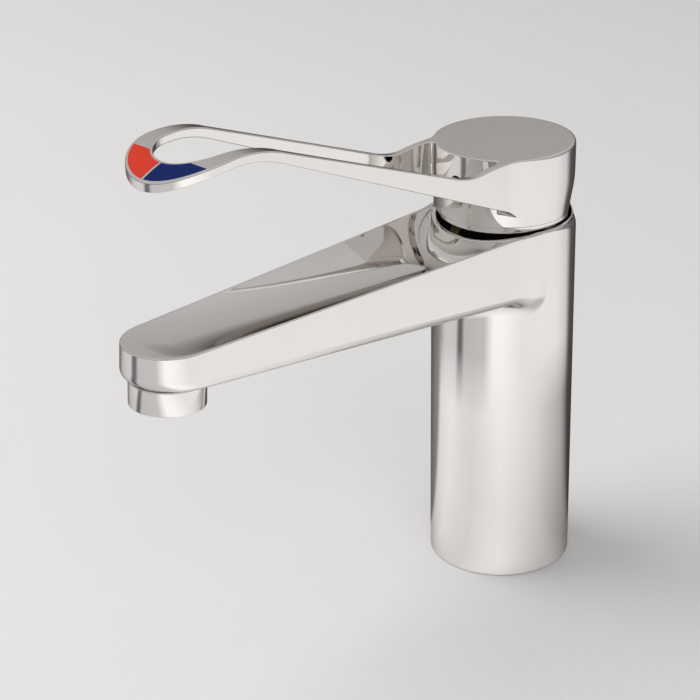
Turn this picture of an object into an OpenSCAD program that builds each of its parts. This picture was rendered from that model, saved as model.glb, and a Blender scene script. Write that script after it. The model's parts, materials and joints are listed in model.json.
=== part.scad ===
// Elbow lever basin tap: a body and spout in one casting, a ceramic disc cartridge
// that turns and lifts under a looped lever, and a screwed-in aerator.
// Origin at the centre of the base on the deck, +Z up, the spout points to -Y.

/* [Body] */
// Diameter of the body where it stands on the deck
base_d = 50; // [48.5:0.5:56]
// Diameter of the body just under its rim
neck_d = 49; // [48.5:0.5:54]
// Height of the rim at the sides of the body
rim_h = 129.2; // [120:0.2:145]
// Angle at which the rim rises towards the back
rim_tilt = 4; // [2:0.5:4.5]
// Radius of the rounded outer edge of the rim
rim_round = 1.4; // [0.4:0.1:1.5]
// Wall round the cup that the hub of the lever dips into
cup_wall = 1.6; // [1.5:0.1:1.8]
// Depth of the cup below the rim
cup_depth = 10.2; // [9.8:0.1:11]
// Diameter of the hollow in the base for hoses and stud
shank_d = 41; // [36:0.5:42]
// Thickness of the valve block between that hollow and the cartridge seat
block_t = 23; // [21:0.5:30]
// Width of the dark ring on the floor of the cup
gap_ring_w = 1.8; // [1:0.1:1.9]

/* [Inlets and fixing] */
// Core diameter of the M10x1 hose threads
inlet_d = 9; // [8:0.1:9.5]
// Depth of the hose threads
inlet_depth = 10; // [8:0.5:11]
// Distance between the hot and the cold inlet
inlet_gap = 15; // [12:0.5:16]
// Diameter of the water ways through the valve block
port_d = 5.2; // [4:0.1:5.4]
// Core diameter of the M8 stud thread
stud_d = 6.8; // [5:0.1:7]
// Depth of the stud thread
stud_depth = 9; // [6:0.5:10]
// Section of the base gasket, square
gasket_t = 2; // [1.4:0.1:2.2]

/* [Spout] */
// Distance from the body axis to the outlet axis
reach = 149.3; // [130:0.5:190]
// Width of the spout where it leaves the body
root_w = 45; // [42:0.5:46]
// Width of the rounded nose
nose_d = 30.6; // [29:0.2:36]
// Height of the spout's rim at the nose, above the rim of the body
nose_rise = 0.7; // [0:0.1:2]
// Height of the nose from underside to rim
nose_t = 12; // [11.5:0.1:16]
// Angle at which the underside rises towards the nose
under_angle = 5.4; // [4:0.1:6]
// Width of the rim beside the hollow along the top of the spout
dish_land = 0.6; // [0.3:0.1:3]
// Depth of that hollow in front of the neck
dish_depth_root = 11.2; // [6:0.1:12]
// Depth of that hollow at the nose
dish_depth_nose = 1.4; // [0.5:0.1:2]
// Radius of the fillets between spout and body
root_fillet = 7; // [3:0.5:9]
// Diameter of the water way along the spout
spout_bore_d = 6; // [4:0.1:6.4]

/* [Aerator] */
// Outer diameter of the visible ring
aerator_d = 23.5; // [23:0.1:26]
// Height of the visible ring
aerator_h = 7.8; // [5:0.1:9]
// Diameter of the thread that goes up into the nose
aerator_thread_d = 22; // [21:0.1:22.6]
// Length of that thread
aerator_thread_l = 5; // [4:0.1:5.5]
// Angle at which the stream leans forward
aerator_tilt = 4; // [0:0.5:6]
// Wall of the aerator ring
aerator_wall = 1.4; // [1:0.1:1.6]
// Thickness of the flat seal above the aerator
aerator_seal_t = 1.2; // [0.8:0.1:1.4]
// Diameter of the holes in the stream grid
grid_hole_d = 1.7; // [1:0.1:1.9]
// Rings of holes round the middle one
grid_rings = 3; // [1:1:3]

/* [Cartridge] */
// Diameter of the cartridge's flange
flange_d = 35; // [34:0.1:35.4]
// Height of the flange
flange_h = 8; // [7.5:0.1:9]
// Outer diameter of the barrel above the flange
barrel_d = 30; // [29:0.1:30.4]
// Wall of the barrel
barrel_wall = 1.5; // [1:0.1:1.8]
// Thickness of the base plate with its ports
plate_t = 5; // [4.4:0.1:5.4]
// Thickness of each ceramic disc
disc_t = 4; // [3.6:0.1:4.2]
// Diameter of the moving disc and its driver
moving_d = 20; // [18:0.2:21]
// Thickness of the disc driver
driver_t = 5.5; // [5:0.1:5.8]
// Height of the turning guide's barrel
guide_h = 10; // [9.6:0.1:10.4]
// Distance from the lever's pivot to the foot of its spindle
foot_arm = 11.6; // [11:0.1:12]
// Diameter of the pivot pin
pivot_d = 4; // [3:0.1:4.4]
// Width of the square spindle
spindle_w = 8; // [6.6:0.1:8.4]
// Diameter of the clamp nut's thread
nut_d = 37; // [36.6:0.1:38]
// Height of the clamp nut
nut_h = 6.4; // [5:0.1:6.6]

/* [Lever] */
// How far the side of the hub stands in from the neck
hub_inset = 0.7; // [0.3:0.1:1.1]
// Height of the hub's top above the rim
hub_rise = 25.8; // [25:0.1:30]
// Gap round the band under the hub, inside the cup
band_gap = 0.6; // [0.5:0.1:1.2]
// Height of the step from hub to band above the rim
band_step = 2.4; // [2.2:0.1:3]
// Height of the band
band_h = 3.6; // [3:0.1:3.8]
// Wall of the hollow hub
hub_wall = 4.8; // [4.6:0.1:5.1]
// Angle of the relief at the back of the hub
relief_angle = 15; // [14.5:0.5:16]
// Height of that relief, above the step
relief_h = 9.8; // [9.4:0.1:11]
// Angle through which the lever lifts
lift_angle = 18; // [8:1:18]
// Width over the two arms
loop_w = 36.6; // [32:0.2:40]
// Distance from the body axis to the centre of the loop's outer curve
loop_s = 136; // [120:1:150]
// Thickness of the arms near the hub
arm_wall = 2.7; // [2:0.1:4]
// Thickness of the loop at its sides
loop_wall = 6.1; // [4.6:0.1:8]
// Thickness of the loop at its end
loop_end = 8.6; // [7:0.1:12]
// Angle at which the top of the arms rises
arm_rise = 20.7; // [19:0.1:22]
// Angle at which the underside of the arms rises
arm_under_rise = 23.4; // [22.6:0.1:24.5]
// Drop from the top of the hub to the top of the arms
arm_drop = 1; // [0.4:0.1:2]
// Height of the arms where they leave the hub
arm_root_h = 17.4; // [15:0.1:18]
// Radius of the bend in the arms in front of the hub
bend_r = 40; // [25:1:50]
// Radius of the loop's top, seen from the side
crest_r = 45; // [36:1:55]
// Radius of the loop's underside, seen from the side
under_crest_r = 40; // [34:1:44]
// Thickness of the loop at its crest
loop_t = 2.7; // [2.2:0.1:3.4]

/* [Markers and set screw] */
// Depth of the coloured inlays
inlay_t = 0.8; // [0.5:0.1:1.2]
// Metal border round the inlays
inlay_border = 0.8; // [0.4:0.1:1.2]
// Metal strip between the two inlays
inlay_split = 0.8; // [0.4:0.1:1.6]
// Distance of the inlays' rear ends in front of the loop's centre
inlay_start = 7; // [4:0.5:9]
// Diameter of the set screw
screw_d = 5; // [4:0.1:5]
// Length of the set screw
screw_l = 10; // [6:0.5:11]

/* [Hidden] */
$fn = 96;

// Clearances: pieces that sit still, pieces that move, a pin in its bore
fixed_gap = 0.05;
moving_gap = 0.3;
running_gap = 0.05;
eps = 0.01;
far = 400;

// Body, cup and seat
base_r = base_d / 2;
neck_r = neck_d / 2;
cup_r = neck_r - cup_wall;
shank_r = shank_d / 2;
cup_floor = rim_h - cup_depth;
gap_ring_t = 2.2;
nut_engaged = 4;
seat_h = cup_floor - nut_engaged - flange_h;
nut_run_out = 2;
block_h = seat_h - block_t;
gasket_land = 1.2;
gasket_r = base_r - gasket_land - gasket_t;

// Water ways of the valve block, hot to -X and cold to +X
inlet_y = inlet_gap * 0.4;
outlet_y = -inlet_gap * 0.54;
stud_y = -inlet_gap * 0.9;
PORTS = [[-inlet_gap / 2, inlet_y], [inlet_gap / 2, inlet_y], [0, outlet_y]];
outlet_way_d = port_d + 0.8;
outlet_way_h = seat_h - outlet_way_d / 2 - 3;
duct_wall = 1.3;
duct_in_r = nut_d / 2 + fixed_gap + duct_wall;
duct_out_r = neck_r - duct_wall;
duct_angle = 44;

// Spout: s runs forward from the body axis
nose_r = nose_d / 2;
nose_s = reach - 2;
nose_rim = rim_h + nose_rise;
nose_under = nose_rim - nose_t;
spout_start = 8;
dish_s = neck_r + root_fillet + 2.5;
dish_rise = nose_rim - dish_depth_nose - rim_h + dish_depth_root;
dish_angle = atan(dish_rise / (nose_s - dish_s));
function spout_half(s) = root_w / 2 - (root_w / 2 - nose_r) * (s - spout_start) / (nose_s - spout_start);
dish_half = spout_half(dish_s) - dish_land;
dish_r = (dish_half * dish_half / dish_depth_root + dish_depth_root) / 2;
function spout_under(s) = nose_under - (nose_s - s) * tan(under_angle);
function dish_floor(s) = rim_h - dish_depth_root + (s - dish_s) * tan(dish_angle);
function spout_mid(s) = (spout_under(s) + dish_floor(s)) / 2;
spout_bore_angle = atan((spout_mid(nose_s) - spout_mid(dish_s)) / (nose_s - dish_s));
duct_top = spout_mid(duct_in_r) + spout_bore_d / 2;

// Aerator, measured along its own axis upwards from the outlet face
aerator_r = aerator_d / 2;
thread_r = aerator_thread_d / 2;
ring_bore_r = thread_r - aerator_wall;
lip_t = 1.4;
lip_r = ring_bore_r - 1.1;
aerator_l = aerator_h + aerator_thread_l;
chamber_l = aerator_l + aerator_seal_t;
aerator_slack = aerator_r * abs(tan(under_angle) - tan(aerator_tilt)) + 2 * fixed_gap;
aerator_base = spout_under(reach) - aerator_h * cos(aerator_tilt) - aerator_slack;
grid_t = 2;
insert_wall = 1;
insert_floor = 1.6;
insert_bottom = lip_t + grid_t;
insert_bore_r = ring_bore_r - fixed_gap - insert_wall;
ledge = 1.1;
regulator_t = 2.5;
regulator_bottom = aerator_l - regulator_t - 1.5;

// Cartridge stack from its seat upwards
flange_r = flange_d / 2;
barrel_r = barrel_d / 2;
barrel_bore_r = barrel_r - barrel_wall;
flange_wall = 1.2;
plate_r = flange_r - flange_wall - fixed_gap;
plate_top = seat_h + plate_t;
port_seal_t = 1.6;
port_seal_wall = 1.5;
disc_seal_t = 1;
disc_seal_wall = 1.1;
fixed_top = plate_top + disc_t;
moving_top = fixed_top + disc_t;
driver_top = moving_top + driver_t;
moving_r = moving_d / 2;
guide_r = barrel_bore_r - moving_gap;
guide_bottom = driver_top + moving_gap;
guide_shoulder = guide_bottom + guide_h;
foot_r = 2.5;
stem_r = 1.8;
foot_h = driver_top - foot_r;
pivot_h = foot_h + foot_arm;
foot_travel = foot_arm * sin(lift_angle);
driver_flat = moving_r - 1.4;
tab_t = 2.4;
tab_l = 8;
washer_t = 0.5;
lip_bottom = guide_shoulder + washer_t + moving_gap;
barrel_lip_t = 1.6;
barrel_lip_r = barrel_bore_r - 2.1;
barrel_top = lip_bottom + barrel_lip_t;
guide_neck_r = barrel_lip_r - moving_gap;
guide_top = barrel_top + 0.4;
spindle_drop = pivot_d / 2 + 2.5;
slot_half = spindle_w / 2 + spindle_drop * tan(lift_angle) + 0.5;
stop_ring_t = 1.2;
stop_teeth = 24;

// Hub of the lever
hub_r = neck_r - hub_inset;
hub_bore_r = hub_r - hub_wall;
band_r = cup_r - band_gap;
hub_top = rim_h + hub_rise;
band_top = rim_h + band_step;
band_bottom = band_top - band_h;
band_round = 1.2;
top_round = 0.8;
relief_top = band_top + relief_h;
relief_mid = hub_r - hub_r / cos(relief_angle);
roof_t = 6;
boss_wall = 1.8;
insert_r = spindle_w / sqrt(2) + 1.1;
boss_r = insert_r + boss_wall;
boss_clear = guide_top + stop_ring_t / 2 - pivot_h + boss_r * sin(lift_angle);
boss_bottom = pivot_h + boss_clear / cos(lift_angle);
socket_top = hub_top - 2.8;
spindle_top = socket_top - moving_gap;
screw_r = screw_d / 2;
screw_h = boss_bottom + screw_r + 0.3;
screw_boss_r = screw_r + 2;

// Arms and loop
loop_r = loop_w / 2;
loop_tip = loop_s + loop_r;
loop_hole_r = loop_r - loop_wall;
loop_hole_s = loop_tip - loop_end - loop_hole_r;
arm_in = loop_r - arm_wall;
root_s = sqrt(hub_r * hub_r - loop_r * loop_r);
arm_top = hub_top - arm_drop;
arm_under = arm_top - arm_root_h;
bend_s = hub_r + 6.2;
bend_end = [bend_s + bend_r * sin(arm_rise), arm_top + bend_r * (1 - cos(arm_rise))];
crest_run = 20;
crest_start = [loop_s - crest_run,
               bend_end[1] + (loop_s - crest_run - bend_end[0]) * tan(arm_rise)];
crest_mid = crest_start + crest_r * [sin(arm_rise), -cos(arm_rise)];
under_crest_h = crest_mid[1] + crest_r - loop_t;
under_climb = under_crest_h - arm_under + under_crest_r * (1 / cos(arm_under_rise) - 1);
under_mid = [root_s + under_climb / tan(arm_under_rise), under_crest_h - under_crest_r];

// Points along an arc about mid, angles in degrees
function arc(mid, r, from, to, n = 24) =
    [for (i = [0:n]) let (a = from + (to - from) * i / n) mid + r * [cos(a), sin(a)]];

// Side view of the lever: the line along the top and the line underneath, as [s, height]
lever_end = loop_tip + 1;
function last_angle(mid, r) = acos(min(1, (lever_end - mid[0]) / r));
function lever_top() = concat(
    [[0, arm_top]],
    arc([bend_s, arm_top + bend_r], bend_r, -90, -90 + arm_rise, 12),
    arc(crest_mid, crest_r, 90 + arm_rise, last_angle(crest_mid, crest_r)));
function lever_under() = concat(
    [[0, arm_under - root_s * tan(arm_under_rise)]],
    arc(under_mid, under_crest_r, 90 + arm_under_rise, last_angle(under_mid, under_crest_r)));
function reversed(list) = [for (i = [len(list) - 1:-1:0]) list[i]];
function raised(list, by) = [for (p = list) p + [0, by]];

module ring(r_out, r_in, h) {
    difference() {
        cylinder(r = r_out, h = h);
        translate([0, 0, -eps]) cylinder(r = r_in, h = h + 2 * eps);
    }
}

// Extrudes an outline given as [s, height] across the part, s forward
module side_extrude(points, width) {
    rotate([90, 0, -90])
        linear_extrude(width, center = true) polygon(points);
}

module at_ports() {
    for (p = PORTS) translate([p[0], p[1], 0]) children();
}

module along_spout(s) {
    translate([0, -s, spout_mid(s)]) rotate([90 - spout_bore_angle, 0, 0]) children();
}

module at_aerator() {
    translate([0, -reach, aerator_base]) rotate([-aerator_tilt, 0, 0]) children();
}

// Body: outside shapes
module neck_cap() {
    rotate_extrude() {
        translate([neck_r - rim_round, -rim_round]) circle(rim_round);
        polygon([[0, 0], [neck_r - rim_round, 0], [neck_r - rim_round, -rim_round], [neck_r, -rim_round],
                 [neck_r + far / 4, -far / 2], [0, -far / 2]]);
    }
}

module column() {
    intersection() {
        cylinder(r1 = base_r, r2 = neck_r, h = rim_h + neck_r * tan(rim_tilt));
        translate([0, 0, rim_h]) rotate([rim_tilt, 0, 0]) neck_cap();
    }
}

module spout_plan() {
    polygon([[-root_w / 2, -spout_start], [root_w / 2, -spout_start], [nose_r, -nose_s], [-nose_r, -nose_s]]);
    translate([0, -nose_s]) circle(nose_r);
}

module spout_block() {
    end = nose_s + nose_r + 1;
    intersection() {
        translate([0, 0, spout_under(0) - far / 8]) linear_extrude(far / 2) spout_plan();
        side_extrude([[0, rim_h], [end, nose_rim], [end, spout_under(end)], [0, spout_under(0)]], far / 4);
    }
}

module dish() {
    translate([0, -dish_s, dish_floor(dish_s)]) rotate([90 - dish_angle, 0, 0])
        translate([0, dish_r, spout_start - dish_s]) cylinder(r = dish_r, h = far);
}

// Concave ring round the neck; up = 1 opens upwards, -1 downwards
module neck_fillet(h, up) {
    translate([0, 0, h]) mirror([0, 0, up < 0 ? 1 : 0]) rotate_extrude() difference() {
        translate([neck_r - 2, -1]) square([root_fillet + 2, root_fillet + 1]);
        translate([neck_r + root_fillet, root_fillet]) circle(root_fillet);
    }
}

module fillets() {
    intersection() {
        linear_extrude(rim_h) spout_plan();
        union() {
            neck_fillet(dish_floor(neck_r), 1);
            neck_fillet(spout_under(neck_r + root_fillet), -1);
        }
    }
}

// Body: hollows and water ways
module cartridge_bore() {
    translate([0, 0, cup_floor]) cylinder(r = cup_r, h = far);
    translate([0, 0, cup_floor - nut_engaged - nut_run_out])
        cylinder(r = nut_d / 2 + fixed_gap, h = far);
    translate([0, 0, seat_h]) cylinder(r = flange_r + fixed_gap, h = far);
}

module water_ways() {
    for (side = [-1, 1]) translate([side * inlet_gap / 2, inlet_y, block_h - eps]) {
        cylinder(d = inlet_d, h = inlet_depth + eps);
        cylinder(d = port_d, h = block_t + 1);
    }
    translate([0, outlet_y, outlet_way_h]) cylinder(d = port_d, h = seat_h - outlet_way_h + 1);
    duct_mid = (duct_in_r + duct_out_r) / 2;
    way_start = outlet_y + outlet_way_d / 2;
    translate([0, way_start, outlet_way_h]) rotate([90, 0, 0])
        cylinder(d = outlet_way_d, h = duct_mid + way_start);
    duct_bottom = outlet_way_h - outlet_way_d / 2;
    translate([0, 0, duct_bottom]) rotate([0, 0, -90 - duct_angle / 2]) rotate_extrude(angle = duct_angle)
        translate([duct_in_r, 0]) square([duct_out_r - duct_in_r, duct_top - duct_bottom]);
    along_spout(duct_mid) cylinder(d = spout_bore_d, h = (reach - duct_mid) / cos(spout_bore_angle));
}

module base_hollows() {
    translate([0, 0, -1]) cylinder(r = shank_r, h = block_h + 1);
    translate([0, stud_y, block_h - eps]) cylinder(d = stud_d, h = stud_depth + eps);
    translate([0, 0, -eps]) ring(gasket_r + gasket_t, gasket_r, gasket_t + eps);
}

module tap_body() color("gainsboro") {
    difference() {
        union() {
            column();
            difference() {
                spout_block();
                dish();
            }
            fillets();
        }
        cartridge_bore();
        water_ways();
        base_hollows();
        at_aerator() cylinder(r = thread_r + fixed_gap, h = chamber_l);
    }
}

module base_gasket() color("black") {
    ring(gasket_r + gasket_t, gasket_r, gasket_t);
}

// Cartridge, from the seat upwards
module port_seals() color("dimgray") {
    at_ports() translate([0, 0, seat_h]) ring(port_d / 2 + port_seal_wall, port_d / 2, port_seal_t);
}

module cartridge_base() color("lightgray") {
    difference() {
        translate([0, 0, seat_h]) cylinder(r = plate_r, h = plate_t);
        at_ports() {
            translate([0, 0, seat_h - 1]) cylinder(d = port_d, h = plate_t + 2);
            translate([0, 0, seat_h - 1]) cylinder(r = port_d / 2 + port_seal_wall, h = port_seal_t + 1);
            translate([0, 0, plate_top - disc_seal_t])
                cylinder(r = port_d / 2 + disc_seal_wall, h = disc_seal_t + 1);
        }
    }
}

module disc_seal() color("dimgray") {
    at_ports() translate([0, 0, plate_top - disc_seal_t])
        ring(port_d / 2 + disc_seal_wall, port_d / 2, disc_seal_t);
}

module fixed_disc() color("white") {
    difference() {
        translate([0, 0, plate_top]) cylinder(r = barrel_bore_r - 0.4, h = disc_t);
        at_ports() translate([0, 0, plate_top - 1]) cylinder(d = port_d, h = disc_t + 2);
    }
}

module cartridge_housing() color("darkslategray") {
    difference() {
        union() {
            translate([0, 0, seat_h]) cylinder(r = flange_r, h = flange_h);
            translate([0, 0, seat_h]) cylinder(r = barrel_r, h = barrel_top - seat_h);
        }
        translate([0, 0, seat_h - 1]) cylinder(r = plate_r + fixed_gap, h = plate_t + 1);
        translate([0, 0, plate_top - 1]) cylinder(r = barrel_bore_r, h = lip_bottom - plate_top + 1);
        translate([0, 0, lip_bottom - 1]) cylinder(r = barrel_lip_r, h = barrel_lip_t + 2);
    }
}

module clamp_nut() color("darkgoldenrod") {
    difference() {
        translate([0, 0, seat_h + flange_h]) ring(nut_d / 2, barrel_r + fixed_gap, nut_h);
        for (a = [0:60:300]) rotate([0, 0, a])
            translate([barrel_r + 1.2, -1.5, seat_h + flange_h + nut_h - 2]) cube([5, 3, 3]);
    }
}

module gap_ring() color("black") {
    ring_r = cup_r - fixed_gap;
    translate([0, 0, cup_floor]) ring(ring_r, ring_r - gap_ring_w, gap_ring_t);
}

module stop_ring() color("firebrick") {
    difference() {
        translate([0, 0, barrel_top]) ring(barrel_r - 0.2, barrel_lip_r + 0.8, stop_ring_t);
        for (i = [0:stop_teeth - 1]) rotate([0, 0, i * 360 / stop_teeth])
            translate([barrel_r - 0.2, 0, barrel_top - 1]) cylinder(r = 0.6, h = stop_ring_t + 2);
    }
}

// The disc and its driver stand back by half their travel while the tap is shut
module moving_disc() color("ivory") {
    difference() {
        translate([0, foot_travel / 2, fixed_top]) cylinder(r = moving_r, h = disc_t);
        translate([0, foot_travel / 2, fixed_top - 1]) cylinder(r = moving_r / 2, h = disc_t / 2 + 1);
    }
}

module disc_driver() color("orange") {
    difference() {
        intersection() {
            translate([0, foot_travel / 2, moving_top]) cylinder(r = moving_r, h = driver_t);
            translate([-driver_flat, -far / 2, moving_top]) cube([2 * driver_flat, far, driver_t]);
        }
        translate([0, 0, foot_h - foot_r - moving_gap]) cylinder(r = foot_r + moving_gap, h = driver_t);
    }
}

module spindle_guide() color("silver") {
    difference() {
        union() {
            translate([0, 0, guide_bottom]) cylinder(r = guide_r, h = guide_h);
            translate([0, 0, guide_bottom]) cylinder(r = guide_neck_r, h = guide_top - guide_bottom);
            for (side = [-1, 1])
                translate([side * (driver_flat + moving_gap + tab_t / 2), 0, guide_bottom - driver_t / 2 + 1])
                    cube([tab_t, tab_l, driver_t], center = true);
        }
        translate([-spindle_w / 2 - moving_gap, -slot_half, guide_bottom - 1])
            cube([spindle_w + 2 * moving_gap, 2 * slot_half, guide_top - guide_bottom + 2]);
        translate([0, 0, pivot_h]) rotate([0, 90, 0])
            cylinder(d = pivot_d + 2 * fixed_gap, h = far, center = true);
    }
}

module slip_washer() color("white") {
    translate([0, 0, guide_shoulder]) ring(guide_r - 0.2, guide_neck_r + fixed_gap, washer_t);
}

module pivot_pin() color("lightsteelblue") {
    translate([0, 0, pivot_h]) rotate([0, 90, 0])
        cylinder(d = pivot_d, h = 2 * (guide_neck_r - 0.4), center = true);
}

module spindle() color("darkkhaki") {
    difference() {
        union() {
            translate([0, 0, foot_h]) sphere(r = foot_r);
            translate([0, 0, foot_h]) cylinder(r = stem_r, h = foot_arm);
            translate([-spindle_w / 2, -spindle_w / 2, pivot_h - spindle_drop])
                cube([spindle_w, spindle_w, spindle_top - pivot_h + spindle_drop]);
        }
        translate([0, 0, pivot_h]) rotate([0, 90, 0])
            cylinder(d = pivot_d + 2 * running_gap, h = far, center = true);
    }
}

// Lever
module lever_insert() color("dimgray") {
    hole = spindle_w + 2 * fixed_gap;
    difference() {
        translate([0, 0, boss_bottom]) cylinder(r = insert_r, h = socket_top - boss_bottom);
        translate([-hole / 2, -hole / 2, boss_bottom - 1]) cube([hole, hole, far]);
        screw_hole();
    }
}

module screw_hole() {
    translate([0, 0, screw_h]) rotate([90, 0, 0]) cylinder(r = screw_r + fixed_gap, h = far);
}

module hub_outside() {
    intersection() {
        rotate_extrude() {
            translate([0, band_top]) square([hub_r, hub_rise - band_step - top_round]);
            square_top = hub_top - top_round;
            translate([hub_r - top_round, square_top]) circle(top_round);
            translate([0, square_top]) square([hub_r - top_round, top_round]);
            translate([0, band_bottom + band_round]) square([band_r, band_h]);
            translate([band_r - band_round, band_bottom + band_round]) circle(band_round);
            translate([0, band_bottom]) square([band_r - band_round, band_h]);
        }
        union() {
            translate([0, relief_mid, relief_top]) rotate([-relief_angle, 0, 0])
                cylinder(r = hub_r, h = far, center = true);
            translate([-far / 2, -far, 0]) cube([far, far, far]);
        }
    }
}

module hub_inside() {
    translate([0, 0, band_bottom - 1]) cylinder(r = hub_bore_r, h = hub_top - roof_t - band_bottom + 1);
}

module hub_boss() {
    translate([0, 0, boss_bottom]) cylinder(r = boss_r, h = hub_top - roof_t / 2 - boss_bottom);
    translate([0, -insert_r, screw_h]) rotate([90, 0, 0])
        cylinder(r = screw_boss_r, h = hub_bore_r + 1 - insert_r);
}

module loop_plan() {
    difference() {
        union() {
            translate([-loop_r, -loop_s]) square([loop_w, loop_s]);
            translate([0, -loop_s]) circle(loop_r);
        }
        translate([0, -loop_hole_s]) circle(loop_hole_r);
        for (side = [-1, 1]) scale([side, 1]) polygon([
            [-eps, 0], [arm_in - 3, 0], [arm_in - 3, -hub_r + 5], [arm_in, -hub_r - 3],
            [arm_in, -0.4 * loop_s], [arm_in - 1.4, -0.79 * loop_s],
            [loop_hole_r, -loop_hole_s], [-eps, -loop_hole_s]]);
    }
}

module arms() {
    intersection() {
        linear_extrude(far) loop_plan();
        side_extrude(concat(lever_top(), reversed(lever_under())), far / 4);
    }
}

// Shape of the inlay on one half of the loop, side -1 hot, 1 cold; above = extra height
module inlay(side, above) {
    intersection() {
        linear_extrude(far) intersection() {
            difference() {
                translate([0, -loop_s]) circle(loop_r - inlay_border);
                translate([0, -loop_hole_s]) circle(loop_hole_r + inlay_border);
            }
            translate([side > 0 ? inlay_split / 2 : -loop_w, -far]) square([loop_w - inlay_split / 2,
                                                                         far - loop_s - inlay_start]);
        }
        side_extrude(concat(raised(lever_top(), above), reversed(raised(lever_top(), -inlay_t))), far / 4);
    }
}

module lever_handle() color("gainsboro") {
    difference() {
        union() {
            hub_outside();
            arms();
        }
        difference() {
            hub_inside();
            hub_boss();
        }
        translate([0, 0, boss_bottom - 1])
            cylinder(r = insert_r + fixed_gap, h = socket_top - boss_bottom + 1);
        screw_hole();
        inlay(-1, 1);
        inlay(1, 1);
    }
}

module set_screw() color("slategray") {
    translate([0, -spindle_w / 2, screw_h]) rotate([90, 0, 0]) difference() {
        cylinder(r = screw_r, h = screw_l);
        translate([0, 0, screw_l - 3]) cylinder(d = screw_d / 2, h = 4, $fn = 6);
    }
}

module hot_marker() color("crimson") {
    inlay(-1, 0);
}

module cold_marker() color("midnightblue") {
    inlay(1, 0);
}

// Aerator
module aerator_housing() color("gainsboro") {
    at_aerator() difference() {
        union() {
            cylinder(r = aerator_r, h = aerator_h);
            cylinder(r = thread_r, h = aerator_l);
        }
        translate([0, 0, lip_t]) cylinder(r = ring_bore_r, h = aerator_l);
        translate([0, 0, -1]) cylinder(r = lip_r, h = aerator_l);
    }
}

module aerator_insert() color("gray") {
    at_aerator() translate([0, 0, insert_bottom]) difference() {
        cylinder(r = ring_bore_r - fixed_gap, h = aerator_l - insert_bottom);
        translate([0, 0, insert_floor]) cylinder(r = insert_bore_r - ledge, h = aerator_l);
        translate([0, 0, regulator_bottom - insert_bottom]) cylinder(r = insert_bore_r, h = aerator_l);
        for (a = [0:30:330]) rotate([0, 0, a])
            translate([insert_bore_r - ledge - 1.4, 0, -1]) cylinder(d = 1.6, h = aerator_l);
    }
}

module flow_regulator() color("yellowgreen") {
    at_aerator() translate([0, 0, regulator_bottom]) difference() {
        cylinder(r = insert_bore_r - fixed_gap, h = regulator_t);
        for (a = [0:60:300]) rotate([0, 0, a])
            translate([insert_bore_r / 2, 0, -1]) cylinder(d = 2, h = regulator_t + 2);
    }
}

module stream_grid() color("gray") {
    pitch = (lip_r - grid_hole_d / 2 - 0.3) / max(1, grid_rings);
    at_aerator() translate([0, 0, lip_t]) difference() {
        cylinder(r = ring_bore_r - fixed_gap, h = grid_t);
        translate([0, 0, -1]) cylinder(d = grid_hole_d, h = grid_t + 2);
        for (k = [1:grid_rings], i = [0:6 * k - 1]) rotate([0, 0, i * 60 / k])
            translate([k * pitch, 0, -1]) cylinder(d = grid_hole_d, h = grid_t + 2);
    }
}

module aerator_seal() color("black") {
    at_aerator() translate([0, 0, aerator_l]) ring(thread_r - fixed_gap, ring_bore_r - 1.6, aerator_seal_t);
}

tap_body();
base_gasket();
port_seals();
cartridge_base();
disc_seal();
fixed_disc();
cartridge_housing();
clamp_nut();
gap_ring();
stop_ring();
moving_disc();
disc_driver();
spindle_guide();
slip_washer();
pivot_pin();
spindle();
lever_insert();
lever_handle();
set_screw();
hot_marker();
cold_marker();
aerator_housing();
aerator_insert();
flow_regulator();
stream_grid();
aerator_seal();
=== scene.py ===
# %% [markdown]
# # An elbow lever tap in polished chrome
#
# The tap has two large castings, the body with its spout and the looped lever, and about two dozen small
# pieces inside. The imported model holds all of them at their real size, and it is loaded here as a fixed
# frame. The castings get smooth meshes of their own, because their fillets make the reflections. The small
# pieces keep their shapes and get a finish each.

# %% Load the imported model
import json
import math

import bmesh
import bpy
import numpy as np
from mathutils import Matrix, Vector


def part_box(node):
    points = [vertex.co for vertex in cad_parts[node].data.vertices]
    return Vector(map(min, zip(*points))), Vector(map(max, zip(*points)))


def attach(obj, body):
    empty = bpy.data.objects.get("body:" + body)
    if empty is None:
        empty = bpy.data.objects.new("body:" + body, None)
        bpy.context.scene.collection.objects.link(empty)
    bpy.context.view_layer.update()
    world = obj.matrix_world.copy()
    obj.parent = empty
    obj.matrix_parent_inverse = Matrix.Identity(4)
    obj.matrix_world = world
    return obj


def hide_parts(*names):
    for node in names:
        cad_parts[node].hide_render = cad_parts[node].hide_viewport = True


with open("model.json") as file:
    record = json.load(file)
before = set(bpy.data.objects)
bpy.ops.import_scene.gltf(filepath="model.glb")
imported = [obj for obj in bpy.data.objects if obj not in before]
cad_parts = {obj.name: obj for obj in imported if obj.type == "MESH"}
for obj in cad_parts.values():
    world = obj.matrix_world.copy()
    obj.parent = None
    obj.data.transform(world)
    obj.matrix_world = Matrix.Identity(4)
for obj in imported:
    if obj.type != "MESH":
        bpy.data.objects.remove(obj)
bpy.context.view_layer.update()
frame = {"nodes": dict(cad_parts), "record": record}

import openvdb
from mathutils import Matrix, Vector

MM = 0.001
print("pieces in the frame:", len(frame["nodes"]))

# %% [markdown]
# ## Shapes as fields
#
# A casting is a few plain solids that flow into each other. It could be modelled as a cage with subdivision,
# but then every fillet is moved by hand. Here each solid is a field instead: a function that is negative
# inside, zero on the skin and positive outside. The smaller of two fields is their union, and the larger is
# their overlap. Where both are nearly equal, a small rounding term bends one into the other, which is a
# fillet of a known size. All sizes in the fields are in millimetres, and s runs forward from the body axis.

# %% Blend two fields
def rounding(a, b, blend):
    return np.maximum(blend - np.abs(a - b), 0) ** 2 / (4 * blend)


def joined(a, b, blend):
    return np.minimum(a, b) - rounding(a, b, blend)


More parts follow.
